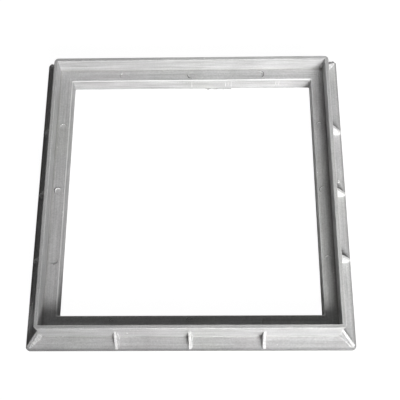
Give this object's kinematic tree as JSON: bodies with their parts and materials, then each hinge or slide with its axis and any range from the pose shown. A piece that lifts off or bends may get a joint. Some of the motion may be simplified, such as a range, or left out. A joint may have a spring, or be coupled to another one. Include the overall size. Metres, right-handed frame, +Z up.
{
  "type": "manhole cover frame",
  "caption": "Square frame for a recessed manhole cover: upright wall on a gusseted base flange, with an inner seat ledge and skirt round a clear opening.",
  "frame": {"origin": "centre of the square frame, on the plane of its bedding face", "axes": "+Z up, out of the recess that the cover drops into; +X right and +Y back, along the frame's sides"},
  "size_m": [0.744, 0.744, 0.088],
  "materials": {
    "frame_grey": "satin light-grey moulding compound, faint lengthwise streaks and mottling"
  },
  "bodies": {
    "root": {"back_flange": "frame_grey", "back_gusset_a": "frame_grey", "back_gusset_b": "frame_grey", "back_gusset_c": "frame_grey", "back_left_corner_gusset": "frame_grey", "back_right_corner_gusset": "frame_grey", "back_seat": "frame_grey", "back_skirt": "frame_grey", "back_wall": "frame_grey", "back_web_a": "frame_grey", "back_web_b": "frame_grey", "back_web_c": "frame_grey", "front_flange": "frame_grey", "front_gusset_a": "frame_grey", "front_gusset_b": "frame_grey", "front_gusset_c": "frame_grey", "front_left_corner_gusset": "frame_grey", "front_right_corner_gusset": "frame_grey", "front_seat": "frame_grey", "front_skirt": "frame_grey", "front_wall": "frame_grey", "front_web_a": "frame_grey", "front_web_b": "frame_grey", "front_web_c": "frame_grey", "left_flange": "frame_grey", "left_gusset_a": "frame_grey", "left_gusset_b": "frame_grey", "left_gusset_c": "frame_grey", "left_seat": "frame_grey", "left_skirt": "frame_grey", "left_wall": "frame_grey", "left_web_a": "frame_grey", "left_web_b": "frame_grey", "left_web_c": "frame_grey", "right_flange": "frame_grey", "right_gusset_a": "frame_grey", "right_gusset_b": "frame_grey", "right_gusset_c": "frame_grey", "right_seat": "frame_grey", "right_skirt": "frame_grey", "right_wall": "frame_grey", "right_web_a": "frame_grey", "right_web_b": "frame_grey", "right_web_c": "frame_grey"}
  },
  "joints": []
}
